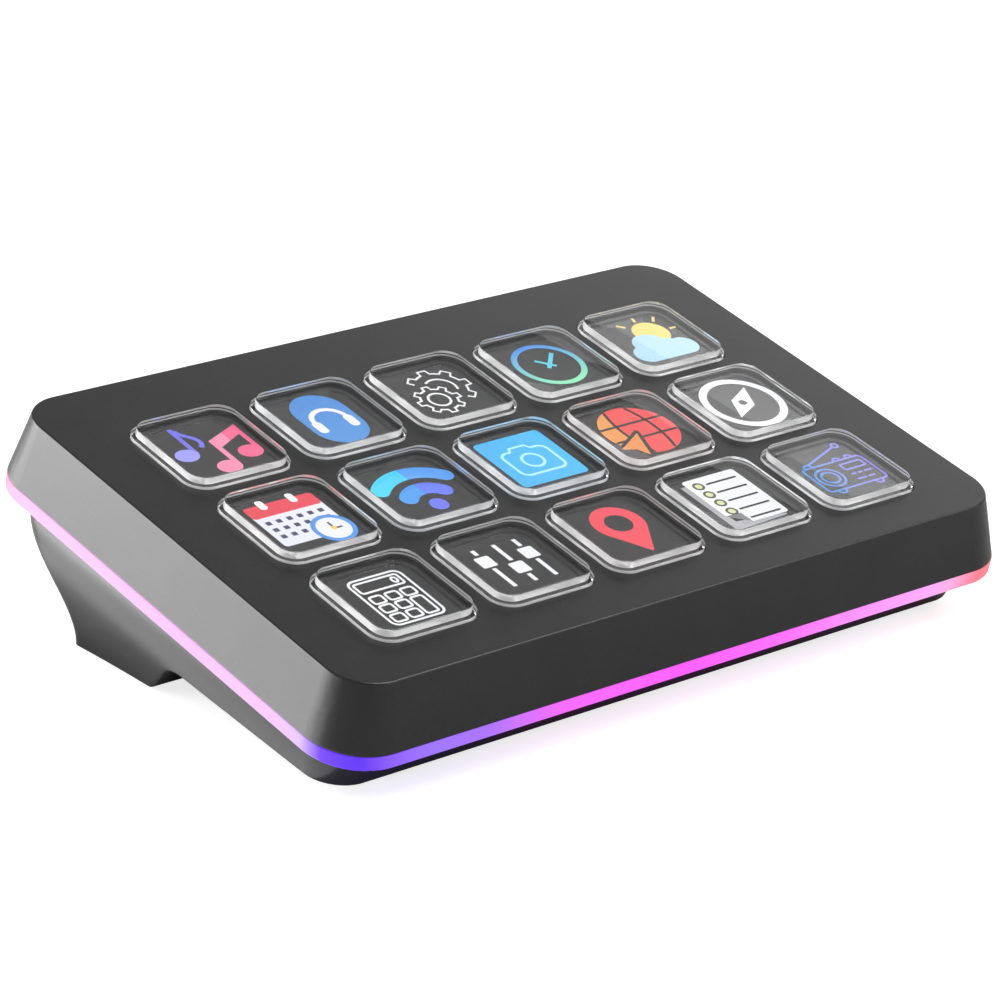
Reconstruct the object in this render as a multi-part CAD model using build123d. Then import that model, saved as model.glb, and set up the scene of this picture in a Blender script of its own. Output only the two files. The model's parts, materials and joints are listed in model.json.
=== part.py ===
from build123d import *
import math
import os

# Stream controller with fifteen picture keys, a glowing ring and a tilted base, in millimetres.
# The deck frame has X right, Y to the rear and Z square to the top face, zero at the key grid's centre.

# Key grid
key_pitch = 21.6
key_columns = 5
key_rows = 3

# Clear key caps
key_gap = 2.94
key_corner = 3.5
key_rim_rise = 0.35
key_crown_rise = 1.15
key_crown_inset = 0.7
key_edge_bevel = 0.25
key_flange_out = 0.75
key_flange_thick = 0.5
key_flange_play = 0.05
key_travel = 0.6
key_bottom_gap = 0.05
window_gap = 0.2

# Top cover
side_margin = 8.9
front_margin = 6.0
rear_margin = 10.85
top_corner = 6.8
top_edge_round = 0.3
cover_depth = 9.87
side_flare = 2.65
front_flare = 3.2
rear_flare = 2.05
ring_corner = 8.9
panel_thick = 1.0
cover_wall = 2.0
seam_round = 0.25

# Light ring, light strip and lamps
ring_thick = 2.18
ring_land = 6.4
ring_lower_round = 0.35
strip_thick = 0.4
strip_gap = 0.1
lamp_length = 2.8
lamp_height = 1.5
lamp_depth = 1.0
lamp_ring_gap = 0.1
lamps_along_side = 4
lamps_along_front = 7

# Key mat, switch film and display
collar_height = 1.15
collar_wall = 0.5
mat_thick = 0.2
mat_margin = 2.2
film_thick = 0.15
display_margin = 2.6
display_ledge = 5.5
glass_thick = 1.2
backlight_thick = 2.5
backlight_inset = 0.4

# Mid frame
frame_thick = 1.7
frame_pocket = 0.6
frame_gap = 0.3
pocket_gap = 0.15
frame_window_width = 60.0
frame_window_depth = 40.0
frame_window_back = 8.0
cover_boss_radius = 2.3
cover_boss_sink = 1.7
cover_boss_pitch = 27.0

# Main board and what it carries
board_width = 80.0
board_depth = 50.0
board_thick = 1.6
board_corner = 2.0
standoff_height = 5.7
standoff_radius = 2.4
standoff_inset = 4.0
chip_thick = 1.2
processor_side = 12.0
memory_width = 11.0
memory_depth = 8.0
chip_spread = 15.0
connector_width = 23.0
connector_depth = 4.0
connector_height = 1.9
ribbon_width = 20.0
ribbon_thick = 0.3
ribbon_run = 14.0
ribbon_bend = 1.5

# Power and data socket in its well
socket_width = 8.94
socket_height = 3.2
socket_length = 7.3
socket_wall = 0.3
tongue_width = 6.6
tongue_thick = 0.7
tongue_setback = 0.6
well_width = 12.6
well_height = 6.6
well_corner = 2.2
well_depth = 5.0
well_wall = 1.2
well_slot_gap = 0.2
board_well_gap = 0.4

# Base shell
tilt = 13.76
front_lift = 5.95
base_side_inset = 3.0
base_front_inset = 4.2
base_rear_inset = 4.2
base_wall = 2.0
side_lean = 6.4
front_taper = 5.4
rear_lean = 10.6
lean_onset_share = 0.08
base_front_corner = 6.0
belly_round = 0.5
base_rear_corner = 7.5
foot_corner = 1.2
base_sections = 6
foot_front_setback = 30.2
belly_front_setback = 3.2
belly_slope = 9.3
leg_front_slope = 37.0
arch_round = 8.0
post_radius = 3.0
post_side_setback = 18.5
post_front_setback = 17.6
post_rear_setback = 23.3

# Rubber feet
pad_proud = 0.5
pad_sink = 0.7
pad_gap = 0.1
front_pad_width = 34.0
front_pad_depth = 4.4
front_pad_setback = 8.5
rear_pad_width = 24.0
rear_pad_depth = 13.0
pad_edge_setback = 3.4
front_pad_corner = 1.2
rear_pad_corner = 2.5

# Screws
base_screw_radius = 1.1
base_head_radius = 2.1
base_head_height = 1.6
base_screw_grip = 2.2
base_screw_bite = 4.0
small_screw_radius = 0.8
small_head_radius = 1.7
small_head_height = 1.1
cover_screw_bite = 3.4
board_screw_bite = 4.2
screw_gap = 0.1
pilot_gap = 0.05

overrun = 1.0

# Levels and extents of the deck, worked out from the sizes above
slope = math.radians(tilt)
key_side = key_pitch - key_gap
grid_half_width = key_columns * key_pitch / 2
grid_half_depth = key_rows * key_pitch / 2
top_half = grid_half_width + side_margin
top_front = grid_half_depth + front_margin
top_rear = grid_half_depth + rear_margin
ring_half = top_half + side_flare
ring_front = top_front + front_flare
ring_rear = top_rear + rear_flare
ring_bottom = cover_depth + ring_thick
flange_top = panel_thick + key_flange_play
flange_bottom = flange_top + key_flange_thick
collar_top = flange_bottom + key_flange_play
mat_top = collar_top + collar_height
film_top = mat_top + mat_thick
glass_top = film_top + film_thick
backlight_top = glass_top + glass_thick
backlight_bottom = backlight_top + backlight_thick
frame_top = backlight_bottom - frame_pocket
frame_bottom = frame_top + frame_thick
board_top = frame_bottom + standoff_height
board_bottom = board_top + board_thick
socket_level = board_bottom + socket_height / 2
base_half = ring_half - base_side_inset
base_front = ring_front - base_front_inset
base_rear = ring_rear - base_rear_inset
well_floor = base_rear - well_depth
board_rear = well_floor - well_wall - board_well_gap
board_front = board_rear - board_depth

# The deck's place over the desk: turned about X, lifted, and centred front to back
deck_height = front_lift + ring_front * math.sin(slope) + ring_bottom * math.cos(slope)
deck_front_y = cover_depth * math.sin(slope) - ring_front * math.cos(slope)
deck_rear_y = ring_rear * math.cos(slope) + ring_bottom * math.sin(slope)
on_desk = Pos(0, -(deck_front_y + deck_rear_y) / 2, 0)
tilted = on_desk * Pos(0, 0, deck_height) * Rot(tilt, 0, 0)

# The leg reaches past the desk before it is cut flat
desk_depth = (deck_height + (base_rear - rear_lean) * math.sin(slope)) / math.cos(slope)
base_reach = desk_depth + overrun - ring_bottom

key_places = [
    (row, column, (column - (key_columns - 1) / 2) * key_pitch, ((key_rows - 1) / 2 - row) * key_pitch)
    for row in range(key_rows)
    for column in range(key_columns)
]
post_places = [
    (side * (ring_half - post_side_setback), along)
    for side in (-1, 1)
    for along in (post_front_setback - ring_front, ring_rear - post_rear_setback)
]
cover_boss_places = [
    (side * (top_half - cover_wall - cover_boss_sink), along * cover_boss_pitch)
    for side in (-1, 1)
    for along in (-1, 0, 1)
]
standoff_places = [
    (side * (board_width / 2 - standoff_inset), along)
    for side in (-1, 1)
    for along in (board_front + standoff_inset, board_rear - standoff_inset)
]


def mix(first, last, share):
    return first + (last - first) * share


def outline(half_width, front, rear, front_corner, rear_corner, level):
    # A plan outline with its own front and rear corner radii
    plan = Pos(0, (rear - front) / 2) * Rectangle(2 * half_width, front + rear)
    plan = fillet(plan.vertices().group_by(Axis.Y)[0], front_corner)
    plan = fillet(plan.vertices().group_by(Axis.Y)[-1], rear_corner)
    return Pos(0, 0, level) * plan


def cover_outline(depth, inset):
    share = depth / cover_depth
    half_width = mix(top_half, ring_half, share) - inset
    front = mix(top_front, ring_front, share) - inset
    rear = mix(top_rear, ring_rear, share) - inset
    corner = max(mix(top_corner, ring_corner, share) - inset, window_gap)
    return outline(half_width, front, rear, corner, corner, -depth)


def column(radius, bottom, top, place):
    # A round column between two depths under the top face
    return Pos(place[0], place[1], -bottom) * extrude(Circle(radius), bottom - top)


def block(width, depth, corner, bottom, top, place=(0, 0)):
    return Pos(place[0], place[1], -bottom) * extrude(RectangleRounded(width, depth, corner), bottom - top)


def window_grid(side, corner, bottom, top):
    return [block(side, side, corner, bottom, top, place[2:]) for place in key_places]


def screw(radius, length, head_radius, head_height, head_level, place):
    # A flat head under head_level with its shank reaching up
    head = column(head_radius, head_level + head_height, head_level, place)
    return head + column(radius, head_level, head_level - length, place)


def make_top_cover():
    shell = loft([cover_outline(0, 0), cover_outline(cover_depth, 0)], ruled=True)
    shell = fillet(shell.faces().sort_by(Axis.Z)[-1].edges(), top_edge_round)
    shell = fillet(shell.faces().sort_by(Axis.Z)[0].edges(), seam_round)
    inner = [cover_outline(depth, cover_wall) for depth in (panel_thick, cover_depth)]
    shell -= loft(inner, ruled=True)
    opening = key_side + 2 * window_gap
    shell -= window_grid(opening, key_corner + window_gap, panel_thick + overrun, -overrun)
    shell += [column(cover_boss_radius, frame_top, panel_thick, place) for place in cover_boss_places]
    pilot_top = frame_bottom - frame_thick - cover_screw_bite - pilot_gap
    return shell - [
        column(small_screw_radius + pilot_gap, frame_top + overrun, pilot_top, place)
        for place in cover_boss_places
    ]


def make_key(x, y):
    # A clear block whose crown steps in above the rim, held down by a flange under the cover
    bottom = glass_top - key_travel - key_bottom_gap
    crown_side = key_side - 2 * key_crown_inset
    flange_side = key_side + 2 * key_flange_out
    crown_corner = key_corner - key_crown_inset
    crown_top = -key_rim_rise - key_crown_rise
    crown = block(crown_side, crown_side, crown_corner, -key_rim_rise, crown_top)
    crown = chamfer(crown.faces().sort_by(Axis.Z)[-1].edges(), key_edge_bevel)
    rim = block(key_side, key_side, key_corner, bottom, -key_rim_rise)
    flange = block(flange_side, flange_side, key_corner + key_flange_out, flange_bottom, flange_top)
    return Pos(x, y) * (rim + flange + crown)


def make_key_mat():
    opening = key_side + 2 * window_gap
    opening_corner = key_corner + window_gap
    collar = opening + 2 * collar_wall
    width = 2 * (grid_half_width + mat_margin)
    depth = 2 * (grid_half_depth + mat_margin)
    mat = block(width, depth, key_corner, film_top, mat_top)
    mat += window_grid(collar, opening_corner + collar_wall, mat_top, collar_top)
    return mat - window_grid(opening, opening_corner, film_top + overrun, collar_top - overrun)


def make_switch_film():
    opening = key_side + 2 * window_gap
    width = 2 * (grid_half_width + mat_margin)
    depth = 2 * (grid_half_depth + mat_margin)
    film = block(width, depth, key_corner, glass_top, film_top)
    return film - window_grid(opening, key_corner + window_gap, glass_top + overrun, film_top - overrun)


def display_block(inset, bottom, top):
    front = grid_half_depth + display_margin - inset
    rear = grid_half_depth + display_ledge - inset
    width = 2 * (grid_half_width + display_margin - inset)
    return block(width, front + rear, pocket_gap, bottom, top, (0, (rear - front) / 2))


def make_mid_frame():
    plate = extrude(cover_outline(frame_top, cover_wall + frame_gap), -frame_thick)
    plate -= display_block(backlight_inset - pocket_gap, backlight_bottom, frame_top - overrun)
    window_corner = standoff_radius
    plate -= block(
        frame_window_width,
        frame_window_depth,
        window_corner,
        frame_bottom + overrun,
        frame_top,
        (0, frame_window_back),
    )
    plate += [column(post_radius, cover_depth, backlight_bottom, place) for place in post_places]
    plate += [column(standoff_radius, board_top, backlight_bottom, place) for place in standoff_places]
    plate -= [
        column(base_screw_radius + pilot_gap, cover_depth + overrun, backlight_bottom, place)
        for place in post_places
    ]
    plate -= [
        column(small_screw_radius + pilot_gap, board_top + overrun, board_top - board_screw_bite, place)
        for place in standoff_places
    ]
    return plate - [
        column(small_screw_radius + screw_gap, frame_bottom + overrun, frame_top - overrun, place)
        for place in cover_boss_places
    ]


def make_main_board():
    middle = (board_front + board_rear) / 2
    board = block(board_width, board_depth, board_corner, board_bottom, board_top, (0, middle))
    return board - [
        column(small_screw_radius + screw_gap, board_bottom + overrun, board_top - overrun, place)
        for place in standoff_places
    ]


def make_ribbon():
    # Flat lead: under the backlight, down in an S and into its connector
    start = frame_window_back + frame_window_depth / 2 - board_corner
    upper = backlight_bottom + ribbon_thick / 2
    lower = board_top - connector_height / 2
    turn = start - ribbon_run
    path = FilletPolyline(
        (0, start, -upper),
        (0, turn, -upper),
        (0, turn, -lower),
        (0, turn - connector_depth, -lower),
        radius=ribbon_bend,
    )
    section = Plane(path @ 0, x_dir=(1, 0, 0), z_dir=path % 0) * Rectangle(ribbon_width, ribbon_thick)
    return sweep(section, path=path)


def make_ribbon_connector():
    rear = frame_window_back + frame_window_depth / 2 - board_corner - ribbon_run - connector_depth
    body = block(
        connector_width, connector_depth, board_corner / 4, board_top, board_top - connector_height,
        (0, rear - connector_depth / 2),
    )
    return body


def slot_prism(width, height, corner, front, rear):
    # A rounded slot along Y at the socket's level
    mouth = Plane((0, front, -socket_level), x_dir=(1, 0, 0), z_dir=(0, 1, 0))
    face = mouth * RectangleRounded(width, height, corner)
    return extrude(face, rear - front)


def make_usb_socket():
    round_share = 0.49
    bore_width = socket_width - 2 * socket_wall
    bore_height = socket_height - 2 * socket_wall
    shell = slot_prism(
        socket_width, socket_height, socket_height * round_share, well_floor - socket_length, well_floor
    )
    back = well_floor - socket_length + socket_wall
    bore_corner = bore_height * round_share
    return shell - slot_prism(bore_width, bore_height, bore_corner, back, well_floor + overrun)


def make_usb_tongue():
    back = well_floor - socket_length + socket_wall
    return slot_prism(tongue_width, tongue_thick, tongue_thick / 4, back, well_floor - tongue_setback)


def make_light_ring():
    ring = extrude(cover_outline(cover_depth, 0), -ring_thick)
    ring = fillet(ring.faces().sort_by(Axis.Z)[0].edges(), ring_lower_round)
    bore = extrude(cover_outline(cover_depth, ring_land), -ring_thick - 2 * overrun)
    return ring - Pos(0, 0, overrun) * bore


def make_light_strip():
    inset = ring_land + lamp_ring_gap + lamp_depth
    band = extrude(cover_outline(cover_depth, inset), -ring_thick + 2 * strip_gap)
    band -= extrude(cover_outline(cover_depth, inset + strip_thick), -ring_thick)
    return Pos(0, 0, -strip_gap) * band


def make_lamps():
    # Lamps on the strip's straight runs, facing out into the ring
    inset = ring_land + lamp_ring_gap + lamp_depth / 2
    middle = (ring_rear - ring_front) / 2
    run_x = 2 * (ring_half - ring_corner) / lamps_along_front
    run_y = (ring_front + ring_rear - 2 * ring_corner) / lamps_along_side
    level = cover_depth + ring_thick / 2
    lamp = Box(lamp_length, lamp_depth, lamp_height)
    lamps = []
    for number in range(lamps_along_front):
        along = (number - (lamps_along_front - 1) / 2) * run_x
        lamps.append(Pos(along, inset - ring_front, -level) * lamp)
        lamps.append(Pos(along, ring_rear - inset, -level) * lamp)
    for number in range(lamps_along_side):
        along = middle + (number - (lamps_along_side - 1) / 2) * run_y
        for side in (-1, 1):
            lamps.append(Pos(side * (ring_half - inset), along, -level) * Rot(0, 0, 90) * lamp)
    return Compound(children=lamps)


def base_hull(inset):
    # The hull tapers in on all sides, and its rear wall leans forward in an S on the way down
    sections = []
    for number in range(base_sections):
        share = number / (base_sections - 1)
        turn = max(share - lean_onset_share, 0) / (1 - lean_onset_share)
        lean = turn * turn * (3 - 2 * turn)
        half_width = base_half - side_lean * lean - inset
        front = base_front - front_taper * share - inset
        rear = base_rear - rear_lean * lean - inset
        front_corner = base_front_corner - inset
        rear_corner = max(mix(base_rear_corner, foot_corner, share) - inset, foot_corner / 2)
        level = -ring_bottom - base_reach * share
        sections.append(outline(half_width, front, rear, front_corner, rear_corner, level))
    return loft(sections)


def underside(lift):
    # What lies under the base: the rising belly, the arch and the leg's foot
    foot_front = deck_rear_y - foot_front_setback
    belly_front = deck_front_y + belly_front_setback
    belly_rise = math.tan(math.radians(belly_slope))
    leg_rise = math.tan(math.radians(leg_front_slope))
    crest = (foot_front * leg_rise + belly_front * belly_rise) / (leg_rise + belly_rise)
    crest_height = pad_proud + (crest - belly_front) * belly_rise
    front_end = deck_front_y - ring_half
    rear_end = deck_rear_y + ring_half
    profile = Polyline(
        (front_end, pad_proud + (front_end - belly_front) * belly_rise),
        (crest, crest_height),
        (foot_front, pad_proud),
        (rear_end, pad_proud),
        (rear_end, -ring_half),
        (front_end, -ring_half),
        close=True,
    )
    face = make_face(profile)
    face = fillet(face.vertices().sort_by(Axis.Y)[-1], arch_round)
    if lift:
        face = offset(face, amount=lift, kind=Kind.INTERSECTION)
    side_view = Plane((-ring_half, 0, 0), x_dir=(0, 1, 0), z_dir=(1, 0, 0))
    return Rot(-tilt, 0, 0) * Pos(0, 0, -deck_height) * extrude(side_view * face, 2 * ring_half)


def make_base_shell():
    shell = base_hull(0) - underside(0)
    belly = shell.faces().filter_by(GeomType.PLANE).sort_by(Axis.Z)[-2]
    shell = fillet(belly.edges().sort_by(Axis.Y)[:-1], belly_round)
    shell -= base_hull(base_wall) - underside(base_wall)
    well_outer = slot_prism(
        well_width + 2 * well_wall, well_height + 2 * well_wall, well_corner + well_wall,
        well_floor - well_wall, base_rear,
    )
    posts = [column(post_radius, base_reach + ring_bottom, cover_depth, place) for place in post_places]
    shell += well_outer & base_hull(base_wall / 2)
    shell += Part() + posts
    shell -= underside(0)
    shell -= slot_prism(well_width, well_height, well_corner, well_floor, ring_rear + overrun)
    round_share = 0.49
    slot_height = socket_height + 2 * well_slot_gap
    shell -= slot_prism(
        socket_width + 2 * well_slot_gap, slot_height, slot_height * round_share,
        well_floor - well_wall - overrun, well_floor + overrun,
    )
    head_level = cover_depth + base_screw_grip
    for place in post_places:
        shell -= column(base_screw_radius + screw_gap, head_level + overrun, cover_depth - overrun, place)
        shell -= column(base_head_radius + screw_gap, base_reach + ring_bottom + overrun, head_level, place)
    return shell - [pad_block(pad_gap, *pad) for pad in pad_places()]


def pad_places():
    # Centre, size and corner radius of each foot, in the desk's own frame
    foot_front = deck_rear_y - foot_front_setback
    front_y = deck_front_y + belly_front_setback + front_pad_setback + front_pad_depth / 2
    rear_y = foot_front + pad_edge_setback + rear_pad_depth / 2
    spread = base_half - side_lean - pad_edge_setback
    places = []
    for side in (-1, 1):
        front_x = side * (spread - front_pad_width / 2)
        places.append((front_x, front_y, front_pad_width, front_pad_depth, front_pad_corner))
        rear_x = side * (spread - rear_pad_width / 2)
        places.append((rear_x, rear_y, rear_pad_width, rear_pad_depth, rear_pad_corner))
    return places


def pad_block(gap, x, y, width, depth, corner):
    # A foot cut to the underside it is set into
    plan = RectangleRounded(width + 2 * gap, depth + 2 * gap, corner + gap)
    pad = Rot(-tilt, 0, 0) * Pos(x, y, -deck_height) * extrude(plan, deck_height)
    return pad & underside(pad_sink)


def make_nodes():
    nodes = {"top_cover": make_top_cover()}
    for row, column_number, x, y in key_places:
        nodes[f"key_r{row + 1}_c{column_number + 1}"] = make_key(x, y)
    nodes["key_mat"] = make_key_mat()
    nodes["switch_film"] = make_switch_film()
    nodes["display_glass"] = display_block(0, backlight_top, glass_top)
    nodes["display_backlight"] = display_block(backlight_inset, backlight_bottom, backlight_top)
    nodes["display_ribbon"] = make_ribbon()
    nodes["ribbon_connector"] = make_ribbon_connector()
    nodes["mid_frame"] = make_mid_frame()
    nodes["main_board"] = make_main_board()
    middle = (board_front + board_rear) / 2
    chip_bottom = board_bottom + chip_thick
    chip_corner = board_corner / 4
    nodes["processor_chip"] = block(
        processor_side, processor_side, chip_corner, chip_bottom, board_bottom, (-chip_spread, middle)
    )
    nodes["memory_chip"] = block(
        memory_width, memory_depth, chip_corner, chip_bottom, board_bottom, (chip_spread, middle)
    )
    nodes["usb_socket"] = make_usb_socket()
    nodes["usb_tongue"] = make_usb_tongue()
    nodes["light_ring"] = make_light_ring()
    nodes["light_strip"] = make_light_strip()
    nodes["lamps"] = make_lamps()
    nodes["base_shell"] = make_base_shell()
    foot_names = ("front_foot_left", "rear_foot_left", "front_foot_right", "rear_foot_right")
    for name, pad in zip(foot_names, pad_places()):
        nodes[name] = pad_block(0, *pad)
    nodes["base_screws"] = Compound(children=[
        screw(base_screw_radius, base_screw_bite, base_head_radius, base_head_height,
              cover_depth + base_screw_grip, place)
        for place in post_places
    ])
    nodes["cover_screws"] = Compound(children=[
        screw(small_screw_radius, frame_thick + cover_screw_bite, small_head_radius, small_head_height,
              frame_bottom, place)
        for place in cover_boss_places
    ])
    board_screw_length = board_thick + board_screw_bite - pilot_gap
    nodes["board_screws"] = Compound(children=[
        screw(small_screw_radius, board_screw_length, small_head_radius, small_head_height, board_bottom, place)
        for place in standoff_places
    ])
    return nodes


os.makedirs("parts", exist_ok=True)
for node_name, node in make_nodes().items():
    export_step(tilted * node, f"parts/{node_name}.step")
    print(node_name, len(node.solids()), round(node.volume, 1))
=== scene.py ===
import json
from math import cos, hypot, pi, radians, sin, tau
import bmesh
import bpy
from mathutils import Matrix, Vector


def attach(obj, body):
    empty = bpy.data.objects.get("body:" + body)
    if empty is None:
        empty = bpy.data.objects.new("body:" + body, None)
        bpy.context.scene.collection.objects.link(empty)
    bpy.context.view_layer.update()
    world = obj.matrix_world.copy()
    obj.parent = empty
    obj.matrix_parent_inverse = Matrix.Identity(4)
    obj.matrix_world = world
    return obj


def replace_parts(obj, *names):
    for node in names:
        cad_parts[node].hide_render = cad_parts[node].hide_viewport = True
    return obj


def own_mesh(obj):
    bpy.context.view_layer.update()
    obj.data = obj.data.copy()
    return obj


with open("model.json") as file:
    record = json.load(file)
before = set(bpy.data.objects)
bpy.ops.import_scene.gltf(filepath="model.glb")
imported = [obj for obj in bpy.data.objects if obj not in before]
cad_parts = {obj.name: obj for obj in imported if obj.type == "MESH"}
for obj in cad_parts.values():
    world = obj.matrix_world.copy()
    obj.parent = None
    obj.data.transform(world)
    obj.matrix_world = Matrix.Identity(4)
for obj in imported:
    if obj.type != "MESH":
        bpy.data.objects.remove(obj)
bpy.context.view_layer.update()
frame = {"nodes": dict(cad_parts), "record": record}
nodes = frame["nodes"]
mm = 0.001
print("frame loaded:", len(nodes), "nodes")

# The deck's own axes: the keys are pressed square to it
deckUp = -Vector(frame["record"]["behaviour"]["joints"][0]["axis"]).normalized()
deckRight = Vector((1, 0, 0))
deckBack = deckUp.cross(deckRight)
deckTurn = Matrix((deckRight, deckBack, deckUp)).transposed().to_4x4()


def deckSpan(node):  # a node's lowest and highest place along the deck's axes
    points = [v.co.copy() for v in nodes[node].data.vertices]
    along = [[p.dot(axis) for p in points] for axis in (deckRight, deckBack, deckUp)]
    return Vector([min(a) for a in along]), Vector([max(a) for a in along])


def deckPlace(x, y, z):  # millimetres on the deck, set at a point given along the deck's axes
    return deckTurn @ Matrix.Translation((x, y, z)) @ Matrix.Scale(mm, 4)


# Materials

def newFinish(name):
    finish = bpy.data.materials.new(name)
    finish.use_nodes = True
    tree = finish.node_tree
    return finish, tree, tree.nodes["Principled BSDF"]


def addNode(tree, kind, settings=None, **inputs):
    node = tree.nodes.new(kind)
    for key, value in (settings or {}).items():
        setattr(node, key, value)
    for key, value in inputs.items():
        node.inputs[key].default_value = value
    return node


def objectCoords(tree):
    return addNode(tree, "ShaderNodeTexCoord").outputs["Object"]


def ramp(tree, source, stops, ease="LINEAR"):
    node = addNode(tree, "ShaderNodeValToRGB")
    band = node.color_ramp
    band.interpolation = ease
    while len(band.elements) < len(stops):
        band.elements.new(0.5)
    for element, (place, color) in zip(band.elements, stops):
        element.position = place
        element.color = (*color, 1)
    tree.links.new(source, node.inputs["Fac"])
    return node.outputs["Color"]


def spread(tree, source, low, high):  # a 0 to 1 pattern as a range of values
    node = addNode(tree, "ShaderNodeMapRange", None, **{"To Min": low, "To Max": high})
    tree.links.new(source, node.inputs["Value"])
    return node.outputs["Result"]


def noise(tree, coords, size, detail=3.0):
    node = addNode(tree, "ShaderNodeTexNoise", None, Scale=1 / (size * mm), Detail=detail)
    tree.links.new(coords, node.inputs["Vector"])
    return node.outputs["Fac"]


def bump(tree, shader, source, strength, height):
    node = addNode(tree, "ShaderNodeBump", None, Strength=strength, Distance=height * mm)
    tree.links.new(source, node.inputs["Height"])
    tree.links.new(node.outputs["Normal"], shader.inputs["Normal"])


grainLook = {"from": 0.3, "to": 0.7, "detail": 2.0}  # where mottling turns paler, and the grain's detail


def grainedFinish(name, look):  # moulded or cast surface: fine grain, faint mottling
    finish, tree, shader = newFinish(name)
    coords = objectCoords(tree)
    tones = [(grainLook["from"], look["tone"]), (grainLook["to"], look["paler"])]
    mottle = ramp(tree, noise(tree, coords, look["mottle"]), tones)
    tree.links.new(mottle, shader.inputs["Base Color"])
    grain = noise(tree, coords, look["grain"], grainLook["detail"])
    tree.links.new(spread(tree, grain, *look["roughness"]), shader.inputs["Roughness"])
    bump(tree, shader, grain, look["bite"], look["depth"])
    shader.inputs["Metallic"].default_value = look.get("metal", 0)
    shader.inputs["Specular IOR Level"].default_value = look.get("gloss", 0.5)
    return finish


finishes = {
    "cover_plastic": {
        "tone": (0.013, 0.013, 0.013), "paler": (0.017, 0.017, 0.017), "mottle": 9, "grain": 0.22,
        "roughness": (0.25, 0.33), "bite": 0.26, "depth": 0.02, "gloss": 0.5},
    "base_plastic": {
        "tone": (0.011, 0.011, 0.011), "paler": (0.015, 0.015, 0.015), "mottle": 9, "grain": 0.22,
        "roughness": (0.25, 0.33), "bite": 0.26, "depth": 0.02, "gloss": 0.5},
    "foot_rubber": {
        "tone": (0.012, 0.012, 0.013), "paler": (0.02, 0.02, 0.021), "mottle": 3, "grain": 0.35,
        "roughness": (0.75, 0.95), "bite": 0.4, "depth": 0.05, "gloss": 0.25},
    "silicone": {
        "tone": (0.02, 0.02, 0.022), "paler": (0.03, 0.03, 0.032), "mottle": 4, "grain": 0.3,
        "roughness": (0.6, 0.75), "bite": 0.1, "depth": 0.02},
    "frame_plastic": {
        "tone": (0.02, 0.02, 0.022), "paler": (0.03, 0.03, 0.032), "mottle": 6, "grain": 0.3,
        "roughness": (0.5, 0.65), "bite": 0.2, "depth": 0.03},
    "connector_plastic": {
        "tone": (0.012, 0.012, 0.013), "paler": (0.02, 0.02, 0.021), "mottle": 2, "grain": 0.15,
        "roughness": (0.4, 0.55), "bite": 0.1, "depth": 0.01},
    "chip_plastic": {
        "tone": (0.012, 0.012, 0.012), "paler": (0.018, 0.018, 0.018), "mottle": 2, "grain": 0.12,
        "roughness": (0.5, 0.65), "bite": 0.2, "depth": 0.01},
    "circuit_board": {
        "tone": (0.006, 0.05, 0.022), "paler": (0.01, 0.075, 0.035), "mottle": 3, "grain": 0.4,
        "roughness": (0.28, 0.4), "bite": 0.1, "depth": 0.02},
    "circuit_film": {
        "tone": (0.030, 0.028, 0.026), "paler": (0.045, 0.042, 0.038), "mottle": 5, "grain": 0.6,
        "roughness": (0.25, 0.4), "bite": 0.05, "depth": 0.01},
    "lamp_plastic": {
        "tone": (0.8, 0.76, 0.62), "paler": (0.88, 0.85, 0.74), "mottle": 1, "grain": 0.1,
        "roughness": (0.25, 0.4), "bite": 0.05, "depth": 0.005},
    "backlight_tray": {
        "tone": (0.5, 0.51, 0.52), "paler": (0.6, 0.61, 0.62), "mottle": 7, "grain": 0.3,
        "roughness": (0.3, 0.45), "bite": 0.05, "depth": 0.01, "metal": 1},
    "socket_steel": {
        "tone": (0.56, 0.56, 0.57), "paler": (0.68, 0.68, 0.68), "mottle": 2, "grain": 0.1,
        "roughness": (0.2, 0.34), "bite": 0.06, "depth": 0.005, "metal": 1},
    "screw_steel": {
        "tone": (0.3, 0.3, 0.31), "paler": (0.42, 0.42, 0.43), "mottle": 1, "grain": 0.12,
        "roughness": (0.28, 0.42), "bite": 0.1, "depth": 0.01, "metal": 1},
}

# Clear caps: polished faces with an anti-glare film, satin walls with a faint painted glow that brightens
# them
capLook = {
    "face": {"clear": (1, 1, 1), "refraction": 1.6, "through": 1, "glare": 0.0,
             "smudge": 5, "roughness": (0.0, 0.004), "glow": 0},
    # the walls' glow is painted light: an emission that brightens them
    "wall": {"clear": (1, 1, 1), "refraction": 1.6, "through": 0.5, "glare": 0.3,
             "smudge": 2, "roughness": (0.09, 0.12), "glow": 0.08},
}


def clearCap(name, look):
    finish, tree, shader = newFinish(name)
    shader.inputs["Base Color"].default_value = (*look["clear"], 1)
    shader.inputs["Transmission Weight"].default_value = look["through"]
    shader.inputs["IOR"].default_value = look["refraction"]
    shader.inputs["Specular Tint"].default_value = (look["glare"],) * 3 + (1,)
    # a painted glow where the look gives one: the caps' walls
    shader.inputs["Emission Strength"].default_value = look["glow"]
    smudge = noise(tree, objectCoords(tree), look["smudge"])
    tree.links.new(spread(tree, smudge, *look["roughness"]), shader.inputs["Roughness"])
    return finish


screenLook = {"off": (0.004, 0.004, 0.005), "paler": (0.007, 0.007, 0.009), "cell": 0.27,
              "smudge": 6, "roughness": (0.08, 0.16), "gloss": 0.12}


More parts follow.
